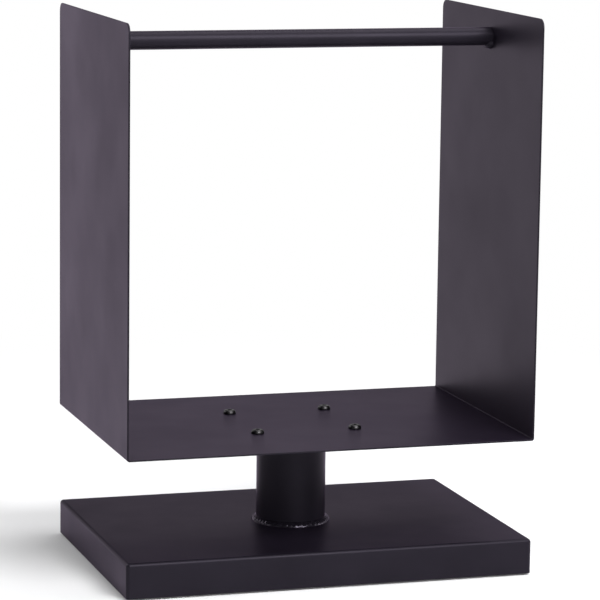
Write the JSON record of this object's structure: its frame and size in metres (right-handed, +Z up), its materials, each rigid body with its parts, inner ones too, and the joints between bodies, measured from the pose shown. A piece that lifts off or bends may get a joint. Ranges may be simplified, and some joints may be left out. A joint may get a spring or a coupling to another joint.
{
  "type": "log holder",
  "caption": "Free-standing firewood holder: a folded steel trough with tall side plates and a carry bar, on a round column and a shallow folded base with rubber feet.",
  "frame": {"origin": "on the floor, in the middle of the footprint", "axes": "+X right along the carry bar, +Y to the back, +Z up"},
  "size_m": [0.45, 0.31, 0.6],
  "materials": {
    "powder_coat": "satin black powder coat, fine grained",
    "black_screw": "black coated steel screws",
    "zinc_steel": "bright zinc-plated steel",
    "rubber": "matt black rubber"
  },
  "bodies": {
    "root": {"trough_sheet": "powder_coat", "carry_bar": "powder_coat", "bar_weld_left": "powder_coat", "bar_weld_right": "powder_coat", "column_head_plate": "powder_coat", "column_head_weld": "powder_coat", "column_tube": "powder_coat", "column_foot_weld": "powder_coat", "base_tray": "powder_coat", "base_corner_welds": "powder_coat", "base_doubler": "powder_coat", "doubler_welds": "powder_coat", "bracket_welds": "powder_coat", "foot_bracket_front_left": "powder_coat", "foot_bracket_front_right": "powder_coat", "foot_bracket_back_left": "powder_coat", "foot_bracket_back_right": "powder_coat", "head_screws": "black_screw", "head_washers": "zinc_steel", "head_nuts": "zinc_steel", "foot_screws": "zinc_steel", "foot_nuts": "zinc_steel", "rubber_foot_front_left": "rubber", "rubber_foot_front_right": "rubber", "rubber_foot_back_left": "rubber", "rubber_foot_back_right": "rubber"}
  },
  "joints": []
}
